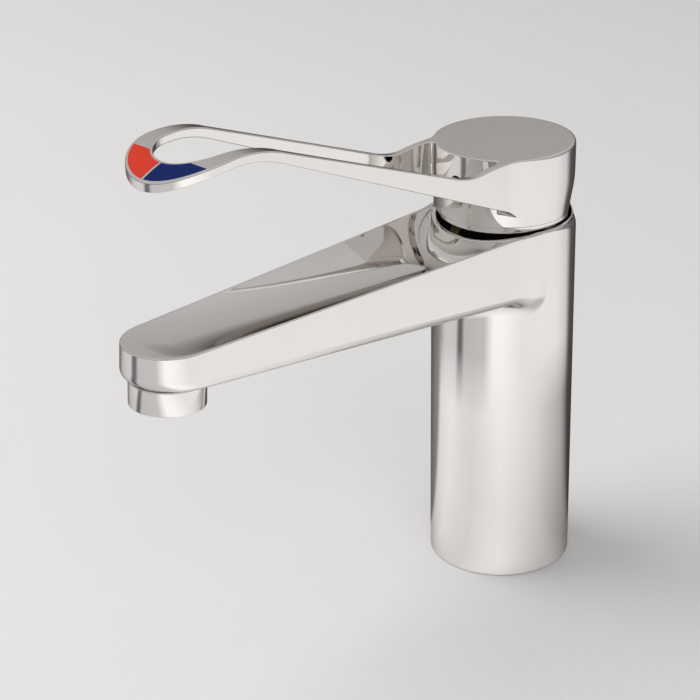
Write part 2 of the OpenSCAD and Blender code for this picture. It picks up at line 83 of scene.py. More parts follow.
def shared(a, b, blend):
    return np.maximum(a, b) + rounding(a, b, blend)


def without(a, b, blend):
    return shared(a, -b, blend)


def fade(value, start, end):
    """0 up to start, 1 from end on, and a soft change between."""
    t = np.clip((value - start) / (end - start), 0, 1)
    return t * t * (3 - 2 * t)


def above(value, softness):
    """The value where it is positive and 0 elsewhere, with a soft turn between."""
    return (value + np.sqrt(value * value + softness * softness)) / 2


def post(x, y, z, radius, low, high):
    """An upright cylinder between two heights."""
    return np.maximum(np.hypot(x, y) - radius, np.maximum(low - z, z - high))


print("two walls that meet at a right angle, blended over 4 mm, leave", rounding(0.0, 0.0, 4.0), "mm")

# %% [markdown]
# ## From a field to a mesh
#
# The field is sampled on a grid and turned into quads where it changes sign. The corners of those quads are
# near the skin but not on it, so each one slides down the field's slope until it is. Wide, calm areas are
# then fine enough. Where a fillet starts, the middle of an edge faces another way than the mean of its ends,
# so that edge is split in two, and the new point slides onto the skin as well. The slope also gives the true
# direction that the skin faces at each point, which keeps reflections in the chrome clean.

# %% Slide points onto the skin
def slope(field, points, step=0.02):
    """How steeply the field rises along each axis, from its values a step to either side."""
    columns = []
    for axis in range(3):
        shift = np.zeros(3)
        shift[axis] = step
        columns.append(field(*(points + shift).T) - field(*(points - shift).T))
    return np.stack(columns, axis=1) / (2 * step)


def settled(field, points, longest, rounds=5):
    """The points moved onto the skin, by no more than the longest move in each round."""
    for _ in range(rounds):
        downhill = slope(field, points)
        steep = np.maximum((downhill * downhill).sum(axis=1), 0.1)
        travel = (field(*points.T) / steep)[:, None] * downhill
        length = np.linalg.norm(travel, axis=1, keepdims=True)
        points = points - travel * np.minimum(1, longest / np.maximum(length, 1e-9))
    return points


def unit(vectors):
    return vectors / np.maximum(np.linalg.norm(vectors, axis=1, keepdims=True), 1e-9)


def facing(field, points):
    return unit(slope(field, points))


def evened(points, faces):
    """Each point half way to the middle of its neighbours."""
    start = faces.ravel()
    end = np.roll(faces, -1, axis=1).ravel()
    total = np.zeros_like(points)
    count = np.zeros(len(points))
    for a, b in ((start, end), (end, start)):
        np.add.at(total, a, points[b])
        np.add.at(count, a, 1)
    return (points + total / count[:, None]) / 2


def ball(x, y, z):
    return np.sqrt(x * x + y * y + z * z) - 10


landed = settled(ball, np.array([[8.0, 3.0, 1.0]]), 1.0)
print("a point that slid onto a 10 mm ball is", round(float(np.linalg.norm(landed)), 4), "mm from its centre")


# %% Split the edges of triangles
def edges_of(triangles, point_count):
    """The two ends of each edge, and for each triangle the numbers of its three edges."""
    ends = np.stack([triangles, np.roll(triangles, -1, axis=1)], axis=2).reshape(-1, 2)
    ends.sort(axis=1)
    keys, numbers = np.unique(ends[:, 0] * point_count + ends[:, 1], return_inverse=True)
    return np.stack([keys // point_count, keys % point_count], axis=1), numbers.reshape(-1, 3)


def split(triangles, numbers, marked, first_new):
    """Triangles cut at the middles of their marked edges; the middles are numbered from first_new."""
    middle = np.cumsum(marked) - 1 + first_new
    pieces = [triangles[~marked[numbers].any(axis=1)]]
    for turn in range(3):
        a, b, c = np.roll(triangles, -turn, axis=1).T
        ab, bc, ca = np.roll(middle[numbers], -turn, axis=1).T
        on_ab, on_bc, on_ca = np.roll(marked[numbers], -turn, axis=1).T
        one = on_ab & ~on_bc & ~on_ca
        two = on_ab & on_bc & ~on_ca
        three = on_ab & on_bc & on_ca
        for chosen, corners in ((one, (a, ab, c)), (one, (ab, b, c)), (two, (ab, b, bc)),
                                (two, (a, ab, bc)), (two, (a, bc, c)), (three, (a, ab, ca))):
            pieces.append(np.stack(corners, axis=1)[chosen])
        if turn == 0:
            pieces.append(np.stack((ab, bc, ca), axis=1)[three])
    return np.concatenate(pieces)


single = np.array([[0, 1, 2]])
print("one triangle, split at every edge, makes", len(split(single, single, np.ones(3, bool), 3)))


# %% Make a piece from a field
def steps(start, *stretches):
    """Places along an axis; each stretch is where it ends and the step in it."""
    places = [np.array([start], float)]
    for end, step in stretches:
        count = math.ceil(abs(end - places[-1][-1]) / step)
        places.append(np.linspace(places[-1][-1], end, count + 1)[1:])
    return np.concatenate(places)


def triangles_of(quads, normals):
    """Each quad cut along the diagonal whose two ends face more alike."""
    ends = normals[quads]
    first = (ends[:, 0] * ends[:, 2]).sum(axis=1) >= (ends[:, 1] * ends[:, 3]).sum(axis=1)
    ordered = np.where(first[:, None], quads, np.roll(quads, -1, axis=1))
    return np.concatenate([ordered[:, [0, 1, 2]], ordered[:, [0, 2, 3]]])


def turned(first, second, degrees):
    """Where two rows of directions are further apart than these degrees."""
    return (first * second).sum(axis=1) < math.cos(math.radians(degrees))


# In degrees: an edge that turns less than the first is left, one whose middle turns more than the second
# is split, and so is one that turns more than the third
calm_turn = 1.5
stray_turn = 1.2
sharp_turn = 15


def skin(name, field, axes, finest, rounds=4):
    """A mesh of the field's skin; finest gives, for points, the length below which no edge is split."""
    samples = field(*np.meshgrid(*axes, indexing="ij"))
    background = 3.0
    grid = openvdb.FloatGrid(background)
    grid.copyFromArray(samples.astype(np.float32))
    points, quads = grid.convertToQuads()
    points = np.stack([np.interp(points[:, k], np.arange(len(axes[k])), axes[k]) for k in range(3)], axis=1)
    quads = quads.astype(int)
    cell = min(np.diff(axis).min() for axis in axes)
    for _ in range(3):
        points = settled(field, evened(points, quads), cell, rounds=2)
    points = settled(field, points, cell)
    normals = facing(field, points)
    triangles = triangles_of(quads, normals)
    for _ in range(rounds):
        ends, numbers = edges_of(triangles, len(points))
        first, second = normals[ends[:, 0]], normals[ends[:, 1]]
        middles = points[ends].mean(axis=1)
        long = np.linalg.norm(points[ends[:, 0]] - points[ends[:, 1]], axis=1) > finest(*middles.T)
        tried = np.flatnonzero(long & turned(first, second, calm_turn))
        added = settled(field, middles[tried], cell, rounds=3)
        faced = facing(field, added)
        astray = turned(faced, unit(first + second)[tried], stray_turn)
        stray = astray | turned(first[tried], second[tried], sharp_turn)
        marked = np.zeros(len(ends), bool)
        marked[tried[stray]] = True
        triangles = split(triangles, numbers, marked, len(points))
        points = np.concatenate([points, added[stray]])
        normals = np.concatenate([normals, faced[stray]])
    mesh = bpy.data.meshes.new(name)
    mesh.from_pydata((points * MM).tolist(), [], triangles.tolist(), shade_flat=False)
    mesh.normals_split_custom_set_from_vertices(normals.tolist())
    piece = bpy.data.objects.new(name, mesh)
    bpy.context.scene.collection.objects.link(piece)
    off = np.abs(field(*points.T)).max()
    print(name, len(triangles), "triangles, furthest point off the skin", round(float(off), 4), "mm")
    return piece


# %% [markdown]
# ## Shader maths
#
# A finish is a small sum: a base value plus some noise. Written as nodes, each plus and times is a box and
# two wires. This class wraps one socket, so that the sum can be written as a sum, and its one other method
# adds any other node: its type, its settings, and then what goes into its sockets.

# %% A socket that can be added and multiplied
def set_stops(ramp, stops):
    """Puts a grey stop at each place of a colour ramp; stops are pairs of place and grey, in order."""
    ramp.elements[0].position = stops[0][0]
    ramp.elements[-1].position = stops[-1][0]
    for place, _ in stops[1:-1]:
        ramp.elements.new(place)
    for element, (_, grey) in zip(ramp.elements, stops):
        element.color = (grey, grey, grey, 1)


class Wire:
    """A socket of a node tree, written as a value."""

    def __init__(self, tree, socket=None):
        self.tree = tree
        self.socket = socket

    def node(self, kind, settings=None, sockets=None, output=0):
        made = self.tree.nodes.new(kind)
        for key, value in (settings or {}).items():
            if key == "stops":
                set_stops(made.color_ramp, value)
            else:
                setattr(made, key, value)
        for key, value in (sockets or {}).items():
            if isinstance(value, Wire):
                self.tree.links.new(value.socket, made.inputs[key])
            else:
                made.inputs[key].default_value = value
        return Wire(self.tree, made.outputs[output] if len(made.outputs) else None)

    def maths(self, operation, first, second):
        return self.node("ShaderNodeMath", {"operation": operation}, {0: first, 1: second})

    def __add__(self, other):
        return self.maths("ADD", self, other)

    def __radd__(self, other):
        return self.maths("ADD", other, self)

    def __sub__(self, other):
        return self.maths("SUBTRACT", self, other)

    def __rsub__(self, other):
        return self.maths("SUBTRACT", other, self)

    def __mul__(self, other):
        return self.maths("MULTIPLY", self, other)

    def __rmul__(self, other):
        return self.maths("MULTIPLY", other, self)


# %% [markdown]
# ## Finishes
#
# Every finish reads the piece's own coordinates in metres, so a noise scale of 50 gives patches of about
# 20 mm. Chrome is a thin bright plating on polished brass. Its colour hardly varies, so what makes it look
# real is a faint haze from polishing, which changes the roughness a little, and a very slight waviness of
# the casting under it. The edge colour is darker than the middle, as it is on chrome.

# %% Start and close a finish
def start(name):
    """A new finish: its material, a wire to add nodes with, and the piece's own coordinates."""
    material = bpy.data.materials.new(name)
    material.use_nodes = True
    material.node_tree.nodes.clear()
    wire = Wire(material.node_tree)
    return material, wire, wire.node("ShaderNodeTexCoord", output="Object")


def noise(place, scale, detail=3.0):
    return place.node("ShaderNodeTexNoise", sockets={"Vector": place, "Scale": scale, "Detail": detail})


def two_tone(share, first, second):
    """A mix of two colours, each of them three numbers or a wire."""
    first, second = (tone if isinstance(tone, Wire) else (*tone, 1) for tone in (first, second))
    return share.node("ShaderNodeMix", {"data_type": "RGBA"}, {0: share, 6: first, 7: second}, output=2)


def bump(height, strength, distance):
    sockets = {"Height": height, "Strength": strength, "Distance": distance}
    return height.node("ShaderNodeBump", sockets=sockets)


def close(material, wire, sockets):
    """Ends a finish in one surface with these values."""
    surface = wire.node("ShaderNodeBsdfPrincipled", sockets=sockets)
    wire.node("ShaderNodeOutputMaterial", sockets={"Surface": surface})
    return material


# %% Polished chrome
def polished_chrome():
    material, wire, place = start("polished_chrome")
    haze = noise(place, 55)
    swirls = noise(place, 900, 2)
    return close(material, wire, {
        "Base Color": two_tone(haze, (0.86, 0.828, 0.80), (0.89, 0.862, 0.838)),
        "Metallic": 1.0,
        "Specular Tint": (0.55, 0.52, 0.5, 1),
        "Roughness": 0.03 + haze * 0.025 + swirls * 0.015,
        "Normal": bump(noise(place, 38, 1), 0.005, 0.001)})


chrome = polished_chrome()
print("finish:", chrome.name, "with", len(chrome.node_tree.nodes), "nodes")

# %% [markdown]
# ## The body and its spout
#
# On the real tap this is one brass casting: a slightly tapering column, a long spout that narrows to a round
# nose, and a hollow along the top of the spout that ends in a soft foot at the collar. The spout seen from
# above is a capsule with a large and a small end. Its flanks lean out a little towards the underside. The
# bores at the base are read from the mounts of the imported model, so they stay where hoses and stud go.

# %% Sizes of the body
# A pair is where a change starts and where it ends
base_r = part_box("tap_body")[1].x / MM
neck_r = 24.5
rim_h = 129.2
cup_r = 22.9
root_half = 22.37
nose_r = 14.5
nose_s = 147.3
flank_lean = 0.07
rim_front = 129.0
rim_rise = 0.0068
under_s = 60
under_h = 109.65
under_rise = 0.0945
under_edge = 4.4
nose_edge = 3.4
edge_change = (70, 150)
root_fillet = 9
flank_fillet = 5
least_fillet = 0.05
fillet_across = (4, 18)
fillet_along = (2, 12)
dish_s = 34.0
dish_deep = 11.2
dish_shallow = 1.4
dish_land = 0.5
dish_edge = 0.3
lip_h = 129.15
lip_rise = 0.07
lip_dip = 2.6
cup_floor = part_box("gap_ring")[0].z / MM
seat_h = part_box("cartridge_base")[0].z / MM
outlet_tilt = math.radians(4)
outlet = np.array([0.0, -149.3, 109.92])
print("base radius", round(base_r, 2), "cup floor", round(cup_floor, 2), "seat", round(seat_h, 2))

# %% The outside of the body
taper = (root_half - nose_r) / nose_s
flank = math.sqrt(1 - taper * taper)


def column(x, y, z):
    return np.hypot(x, y) - (base_r - (base_r - neck_r) * z / rim_h)


def spout_outline(x, s):
    wide = np.abs(x)
    along = flank * s - taper * wide
    root = np.hypot(wide, s) - root_half
    nose = np.hypot(wide, s - nose_s) - nose_r
    side = flank * wide + taper * s - root_half
    return np.where(along < 0, root, np.where(along > flank * nose_s, nose, side))


def spout_rim(s):
    return rim_front + rim_rise * s


def spout_under(s):
    return under_h + under_rise * (s - under_s)


def spout(x, s, z):
    walls = spout_outline(x, s) - flank_lean * (spout_rim(s) - z)
    edge = under_edge + (nose_edge - under_edge) * fade(s, *edge_change)
    return shared(walls, spout_under(s) - z, edge)


def root_blend(x, s):
    """Blend of column and spout: wide under the spout, slim up its flanks, none behind the column's axis."""
    fillet = root_fillet - (root_fillet - flank_fillet) * fade(np.abs(x), *fillet_across)
    return least_fillet + fillet * fade(s, *fillet_along)


def spout_top(x, s, z):
    """Flat rims and a hollow between them: across it runs an arc that gets shallower to the nose."""
    half = (root_half - taper * np.clip(s, 0, nose_s)) / flank - dish_land
    across = np.maximum(half + spout_outline(x, s) + dish_land, 0)
    sag = dish_deep + (dish_shallow - dish_deep) * (s - dish_s) / (nose_s - dish_s)
    sag = np.clip(sag, dish_shallow / 2, dish_deep + 1)
    arc_r = (half * half / sag + sag) / 2
    hollow = arc_r - np.hypot(across, z - spout_rim(s) + sag - arc_r)
    return shared(z - spout_rim(s), hollow, dish_edge)


def collar_lip(s):
    """Height of the collar's edge, which rises to the back and dips in front."""
    return lip_h + lip_rise * np.maximum(-s, 0) - lip_dip * (np.maximum(s, 0) / neck_r) ** 2


print("the spout is", round(spout_rim(nose_s) - spout_under(nose_s), 1), "mm high at its nose and",
      round(spout_rim(under_s) - spout_under(under_s), 1), "mm at its thick end")

# %% The bores of the body
open_end = 400
nut_bore_r = 18.55
nut_bore_deep = 6
seat_bore_r = 17.55
groove_inset = 2.2
groove_half = 1.0
groove_deep = 2
outlet_bore_r = 11.05
outlet_bore_deep = 14.0
overrun = 9


def drilled(x, y, z):
    """Cup, cartridge seat, base bores, gasket groove and outlet, as one field."""
    holes = post(x, y, z, cup_r, cup_floor, open_end)
    holes = np.minimum(holes, post(x, y, z, nut_bore_r, cup_floor - nut_bore_deep, open_end))
    holes = np.minimum(holes, post(x, y, z, seat_bore_r, seat_h, open_end))
    for mount in frame["record"]["mounts"]:
        if "r_mm" in mount["dims"]:
            at = np.array(mount["pos_m"]) / MM
            top = at[2] + mount["dims"]["length_mm"]
            bore = post(x - at[0], y - at[1], z, mount["dims"]["r_mm"], at[2] - overrun, top)
            holes = np.minimum(holes, bore)
    groove = np.abs(np.hypot(x, y) - (base_r - groove_inset)) - groove_half
    holes = np.minimum(holes, np.maximum(groove, z - groove_deep))
    forward = y - outlet[1]
    upward = z - outlet[2]
    along = upward * math.cos(outlet_tilt) + forward * math.sin(outlet_tilt)
    across = forward * math.cos(outlet_tilt) - upward * math.sin(outlet_tilt)
    return np.minimum(holes, post(x, across, along, outlet_bore_r, -overrun, outlet_bore_deep))


bores = [mount["name"] for mount in frame["record"]["mounts"] if "r_mm" in mount["dims"]]
print("bores read from the mounts:", ", ".join(bores))

# %% The whole body
collar_edge = 0.5
collar_foot = 6.0
rim_edge = 0.45
back_edge = 4.5
base_edge = 0.6
bore_edge = 0.4
foot_across = (8, 21)
back_change = (-4, 14)


def tap_body(x, y, z):
    s = -y
    shaft = column(x, y, z)
    walls = joined(shaft, spout(x, s, z), root_blend(x, s))
    collar = shared(shaft, z - collar_lip(s), collar_edge)
    in_front = 1 - fade(np.abs(x), *foot_across)
    top = joined(spout_top(x, s, z), collar, collar_edge + (collar_foot - collar_edge) * in_front)
    outside = shared(walls, top, rim_edge + (back_edge - rim_edge) * fade(y, *back_change))
    outside = shared(outside, -z, base_edge)
    return without(outside, drilled(x, y, z), bore_edge)


body_axes = (steps(-27, (27, 0.8)),
             steps(-165, (-128, 0.8), (-40, 1.6), (27, 0.8)),
             steps(-2, (5, 0.7), (100, 2.4), (134, 0.8)))


# Edges shorter than these aren't split; below the heights and within the radii, nobody looks
coarse = 0.8
body_fine = 0.24
hidden_base = 4
hidden_top = 126
hidden_r = cup_r + 0.3
hidden_outlet_r = 11.5


def body_finest(x, y, z):
    """Coarse where nobody looks: under the base, in the bores and inside the outlet."""
    in_bores = np.hypot(x, y) < hidden_r
    in_outlet = np.hypot(x, y - outlet[1]) < hidden_outlet_r
    return np.where(((z < hidden_base) | in_bores | in_outlet) & (z < hidden_top), coarse, body_fine)


body = skin("chrome_body", tap_body, body_axes, body_finest)
body.data.materials.append(chrome)
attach(body, "tap")
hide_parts("tap_body")

# %% [markdown]
# ## The lever
#
# The lever is one casting too: a hub, two slim arms and a closed loop that an elbow can push. From above the
# loop is a long slot with round ends. From the side the arms leave the hub level, bend up and roll over at
# the end, so the top and the underside are each a line, two arcs and nothing more. The hole of the loop opens
# a little downwards, as it must to leave the mould. The back of the hub is relieved, because it dips into the
# cup when the lever lifts.

# %% Sizes of the lever
hub_r = 23.8
hub_top = 155.0
band_r = 22.3
band_top = 131.6
band_bottom = 128.5
relief_top = 141.4
relief = math.tan(math.radians(15))
relief_softness = 2.0
relief_round = (-0.2, 1.05)
loop_r = 18.3
loop_s = 136.0
hole_r = 12.14
hole_s = 133.56
mould_draft = math.tan(math.radians(4))
screw_h = 145.0
inlay_t = 0.8
inlay_border = 0.8
inlay_split = 0.8
inlay_rear = 143.0
inlay_proud = 0.02


# %% The arms from the side
bend_s, bend_length, bend_r = 30, 14.14, 40
top_drop, drop_change = 1.0, (23, 38)
top_line = (50, 158.8, 0.378)
top_crest = (131.9, 141.7, 45)
top_crest_start = 116
under_line = (15.2, 136.6, 0.433)
under_crest = (132.9, 143.9, 40)
under_crest_start = 117


def on_line(s, line):
    """Height of a straight line, given as a place, the height there and the rise."""
    place, height, rise = line
    return height + rise * (s - place)


def on_arc(s, arc):
    """Height of the upper half of a circle, given as its centre's place and height and its radius."""
    place, height, radius = arc
    return height + np.sqrt(np.maximum(radius ** 2 - (s - place) ** 2, 1))


def arm_top(s):
    level = hub_top - top_drop * fade(s, *drop_change)
    bend = level + bend_r - np.sqrt(bend_r ** 2 - np.clip(s - bend_s, 0, bend_length) ** 2)
    beyond = np.where(s < top_crest_start, on_line(s, top_line), on_arc(s, top_crest))
    return np.where(s < bend_s + bend_length, bend, beyond)


def arm_under(s):
    return np.where(s < under_crest_start, on_line(s, under_line), on_arc(s, under_crest))


highest = arm_top(np.array(top_crest[0]))
print("the loop's crest is", round(float(highest), 1), "mm up and",
      round(float(highest - arm_under(np.array(top_crest[0]))), 2), "mm thick")

# %% The loop from above
slot_root_half = 15.75
slot_narrowing = 3.55
narrow_s, narrow_length, narrow_power = 60, 73.5, 2.2
slot_flare = 1.75
flare_s, flare_length, flare_power = 24, 8, 1.6
slot_end = 134.8
arm_start = 8
draft_deep = 8


def slot_half(s):
    narrowing = slot_narrowing * np.clip((s - narrow_s) / narrow_length, 0, 2) ** narrow_power
    root = slot_flare * np.clip((flare_s - s) / flare_length, 0, 2) ** flare_power
    return slot_root_half - narrowing - root


def loop_plan(x, s, z):
    outside = np.hypot(x, np.maximum(s - loop_s, 0)) - loop_r
    opened = mould_draft * np.clip(arm_top(s) - z, 0, draft_deep)
    slot = np.maximum(np.abs(x) - slot_half(s), s - slot_end)
    hole = np.minimum(slot, np.hypot(x, s - hole_s) - hole_r) - opened
    return np.maximum(np.maximum(outside, -hole), arm_start - s)


print("each arm is", round(float(loop_r - slot_half(np.array(narrow_s))), 2), "mm wide at its root and",
      round(loop_r - hole_r, 2), "mm at the end of the loop")

# %% The inside of the hub
hollow_r, hollow_top = 19.0, 149
boss_r, boss_bottom = 8.56, 142.2
socket_r, socket_top = 6.81, 152.2
screw_r, screw_boss_r, screw_boss_y = 2.55, 4.5, -6.8


def hub_hollow(x, y, z):
    """A hollow round a boss for the spindle's insert, and a screw hole through a boss in front."""
    boss = post(x, y, z, boss_r, boss_bottom, open_end)
    screw_boss = np.maximum(np.hypot(x, z - screw_h) - screw_boss_r, y - screw_boss_y)
    hollow = np.maximum(post(x, y, z, hollow_r, 0, hollow_top), -np.minimum(boss, screw_boss))
    socket = post(x, y, z, socket_r, 0, socket_top)
    screw = np.maximum(np.hypot(x, z - screw_h) - screw_r, y)
    return np.minimum(np.minimum(hollow, socket), screw)


print("wall of the hub", round(hub_r - hollow_r, 2), "mm, top", round(hub_top - hollow_top, 2), "mm")

# %% The whole lever
# Fields of sloping faces grow faster than the distance from them, by the cosine of the slope
top_cosine = 0.94
under_cosine = 0.92
arm_edge = 0.4
arm_fillet = 2.0
top_edge = 0.45
back_round = 1.2
band_step_edge = 0.5
band_edge = 1.4
band_end = 140
hollow_edge = 0.4
back_round_change = (-14, 2)


def lever(x, y, z):
    s = -y
    r = np.hypot(x, y)
    behind = fade(y / np.maximum(r, 1), *relief_round)
    relieved = r - hub_r + relief * above(relief_top - z, relief_softness) * behind
    hub = shared(relieved, band_top - z, band_step_edge)
    arms = shared(loop_plan(x, s, z), (arm_under(s) - z) * under_cosine, arm_edge)
    casting = joined(hub, arms, arm_fillet)
    edge = top_edge + (back_round - top_edge) * fade(y, *back_round_change)
    casting = shared(casting, (z - arm_top(s)) * top_cosine, edge)
    band = shared(np.maximum(r - band_r, relieved), band_bottom - z, band_edge)
    casting = np.minimum(casting, np.maximum(band, z - band_end))
    return without(casting, hub_hollow(x, y, z), hollow_edge)


lever_axes = (steps(-26, (26, 0.75)),
              steps(-157, (-112, 0.75), (-30, 1.5), (26, 0.75)),
              steps(126, (189, 0.75)))


lever_fine = 0.22
inside_r = 20
inside_top = 152


def lever_finest(x, y, z):
    """Coarse inside the hub."""
    return np.where((np.hypot(x, y) < inside_r) & (z < inside_top), coarse, lever_fine)


handle = skin("lever_casting", lever, lever_axes, lever_finest)
handle.data.materials.append(chrome)
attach(handle, "lever")
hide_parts("lever_handle")

# %% [markdown]
# ## The hot and cold inlays
#
# Two thin pieces of coloured plastic are set into the end of the loop, red on the hot side and blue on the
# cold side. Their tops follow the roll of the loop and stand a hair above it, so that the two skins don't
# flicker into each other. The part of each plate below the skin is out of sight.

# %% Coloured plastic
def inlay_plastic(name, first, second):
    material, wire, place = start(name + "_plastic")
    grain = noise(place, 1400, 2)
    return close(material, wire, {
        "Base Color": two_tone(noise(place, 160), first, second),
        "Roughness": 0.42 + grain * 0.1,
        "Specular IOR Level": 0.06,
        "Normal": bump(grain, 0.03, 0.0002)})


hot_red = inlay_plastic("hot", (0.49, 0.032, 0.016), (0.53, 0.039, 0.021))
cold_blue = inlay_plastic("cold", (0.003, 0.011, 0.080), (0.004, 0.015, 0.092))
print("inlay finishes:", hot_red.name, "and", cold_blue.name)


# %% The two inlays
def border(radius, middle, share):
    """Points of an arc from the split between the inlays to their rear ends; share runs from 0 to 1."""
    first = math.asin(inlay_split / 2 / radius)
    last = math.acos((inlay_rear - middle) / radius)
    turn = first + (last - first) * share
    return np.stack([radius * np.sin(turn), middle + radius * np.cos(turn)], axis=-1)


def inlay_mesh(name, side):
    """A ruled patch between the inner and the outer border, as a plate with four walls."""
    rows, columns = 64, 12
    share = np.linspace(0, 1, rows)
    inner_line = border(hole_r + inlay_border, hole_s, share)[:, None]
    outer_line = border(loop_r - inlay_border, loop_s, share)[:, None]
    across = np.linspace(0, 1, columns)[None, :, None]
    plan = (inner_line * (1 - across) + outer_line * across).reshape(-1, 2)
    top = arm_top(plan[:, 1]) + inlay_proud
    points = [np.stack([side * plan[:, 0], -plan[:, 1], top - drop], axis=1) for drop in (0, inlay_t)]
    cells = np.arange(rows * columns).reshape(rows, columns)
    upper = np.stack([cells[:-1, :-1], cells[1:, :-1], cells[1:, 1:], cells[:-1, 1:]], axis=-1)
    upper = upper.reshape(-1, 4)
    lower = upper[:, ::-1] + rows * columns
    rim = np.concatenate([cells[0, :-1], cells[:-1, -1], cells[-1, :0:-1], cells[:0:-1, 0]])
    after = np.roll(rim, -1)
    walls = np.stack([rim, after, after + rows * columns, rim + rows * columns], axis=1)
    faces = np.concatenate([upper, lower, walls])
    mesh = bpy.data.meshes.new(name)
    mesh.from_pydata((np.concatenate(points) * MM).tolist(), [], faces.tolist())
    return mesh


for side, node, slot, finish in ((-1, "hot_marker", "hot_red", hot_red),
                                 (1, "cold_marker", "cold_blue", cold_blue)):
    piece = bpy.data.objects.new(node + "_inlay", inlay_mesh(node, side))
    bpy.context.scene.collection.objects.link(piece)
    whole = bmesh.new()
    whole.from_mesh(piece.data)
    bmesh.ops.recalc_face_normals(whole, faces=whole.faces)
    whole.to_mesh(piece.data)
    whole.free()
    piece.data.materials.append(finish)
    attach(piece, "lever")
    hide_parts(node)
    print(piece.name, len(piece.data.polygons), "faces")

# %% [markdown]
# ## The aerator
#
# The ring under the nose is turned on a lathe, so its shape follows a rule: one outline swept once round.
# That suits Geometry Nodes. The outline's corners come from named inputs, a Fillet Curve node breaks its
# edges, and Curve to Mesh takes it round a circle. The same nodes can make any other turned ring.

# %% Helpers for node trees
sharp_angle = math.radians(40)


def new_tree(name, inputs):
    """A geometry tree with named inputs; returns the tree and a wire for each input."""
    tree = bpy.data.node_groups.new(name, "GeometryNodeTree")
    tree.interface.new_socket("Geometry", in_out="OUTPUT", socket_type="NodeSocketGeometry")
    for label, value in inputs.items():
        kind = "NodeSocketInt" if isinstance(value, int) else "NodeSocketFloat"
        tree.interface.new_socket(label, in_out="INPUT", socket_type=kind)
    entry = tree.nodes.new("NodeGroupInput")
    return tree, {label: Wire(tree, entry.outputs[label]) for label in inputs}


def end_tree(wire, material):
    real = wire.node("GeometryNodeRealizeInstances", sockets={0: wire})
    coloured = real.node("GeometryNodeSetMaterial", sockets={"Geometry": real, "Material": material})
    coloured.node("NodeGroupOutput", sockets={0: coloured})


def made_by(name, tree, inputs):
    """The tree's result as a plain mesh object."""
    mesh = bpy.data.meshes.new(name)
    piece = bpy.data.objects.new(name, mesh)
    bpy.context.scene.collection.objects.link(piece)
    modifier = piece.modifiers.new("nodes", "NODES")
    modifier.node_group = tree
    for item in tree.interface.items_tree:
        if item.in_out == "INPUT":
            modifier[item.identifier] = inputs[item.name]
    shown = piece.evaluated_get(bpy.context.evaluated_depsgraph_get())
    result = bpy.data.meshes.new_from_object(shown)
    piece.modifiers.remove(modifier)
    piece.data = result
    result.shade_smooth()
    result.set_sharp_from_angle(angle=sharp_angle)
    print(name, len(result.polygons), "faces from", len(tree.nodes), "nodes")
    return piece


def at_outlet(wire):
    """Stands a shape made on the Z axis on the outlet's own, tilted axis."""
    place = {"Geometry": wire, "Translation": outlet * MM, "Rotation": (-outlet_tilt, 0, 0)}
    return wire.node("GeometryNodeTransform", sockets=place)


# %% The turned ring
ring_sizes = {"Outer radius": 11.75 * MM, "Thread radius": 11.0 * MM, "Bore radius": 9.6 * MM,
              "Lip radius": 8.5 * MM, "Ring height": 7.9 * MM, "Full height": 12.8 * MM,
              "Lip height": 1.4 * MM, "Edge radius": 0.45 * MM, "Steps round": 160}
tree, size = new_tree("turned_ring", ring_sizes)
corners = [("Lip radius", None), ("Outer radius", None), ("Outer radius", "Ring height"),
           ("Thread radius", "Ring height"), ("Thread radius", "Full height"),
           ("Bore radius", "Full height"), ("Bore radius", "Lip height"), ("Lip radius", "Lip height")]
blank = Wire(tree)
index = blank.node("GeometryNodeInputIndex")
across = blank.node("GeometryNodeIndexSwitch", {"data_type": "VECTOR"}, {"Index": index})
switch = across.socket.node
for _ in range(len(corners) - len(switch.index_switch_items)):
    switch.index_switch_items.new()
for number, (radius, height) in enumerate(corners):
    point = {"X": size[radius], "Y": 0.0 - size[height] if height else 0.0}
    tree.links.new(blank.node("ShaderNodeCombineXYZ", sockets=point).socket, switch.inputs[number + 1])
line = blank.node("GeometryNodeCurvePrimitiveLine")
line = line.node("GeometryNodeResampleCurve", sockets={"Curve": line, "Count": len(corners)})
line = line.node("GeometryNodeSetPosition", sockets={"Geometry": line, "Position": across})
line = line.node("GeometryNodeSetSplineCyclic", sockets={"Geometry": line, "Cyclic": True})
edge_steps = 4
eased = {"Curve": line, "Radius": size["Edge radius"], "Limit Radius": True, "Count": edge_steps}
line = line.node("GeometryNodeFilletCurve", {"mode": "POLY"}, eased)
# The rail has almost no radius, so the outline's own radii are those of the ring
nearly_zero = 1e-6
round_rail = {"Resolution": size["Steps round"], "Radius": nearly_zero}
rail = blank.node("GeometryNodeCurvePrimitiveCircle", sockets=round_rail)
ring = rail.node("GeometryNodeCurveToMesh", sockets={"Curve": rail, "Profile Curve": line})
ring = ring.node("GeometryNodeMergeByDistance", sockets={"Geometry": ring, "Distance": nearly_zero})
ring = ring.node("GeometryNodeFlipFaces", sockets={"Mesh": ring})
end_tree(at_outlet(ring), chrome)
aerator = made_by("aerator_ring", tree, ring_sizes)
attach(aerator, "tap")
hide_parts("aerator_housing")
print("aerator ring spans", [round(v / MM, 2) for v in aerator.dimensions])

# %% [markdown]
# ## Inner pieces
#
# The cartridge, seals, screw and pin keep the shapes of the frame. Each gets the finish of its material,
# except
# the cartridge housing: its pale plastic is painted black, as painted shade in the gap under the hub.

# %% Plain finishes for inner pieces
def grained(name, first, second, rough, grain_scale, grain_depth, metallic=0.0, shine=0.5):
    material, wire, place = start(name)
    grain = noise(place, grain_scale, 4)
    return close(material, wire, {
        "Base Color": two_tone(noise(place, 90), first, second),
        "Metallic": metallic,
        "Specular IOR Level": shine,
        "Roughness": rough + grain * 0.12,
        "Normal": bump(grain, 0.15, grain_depth)})


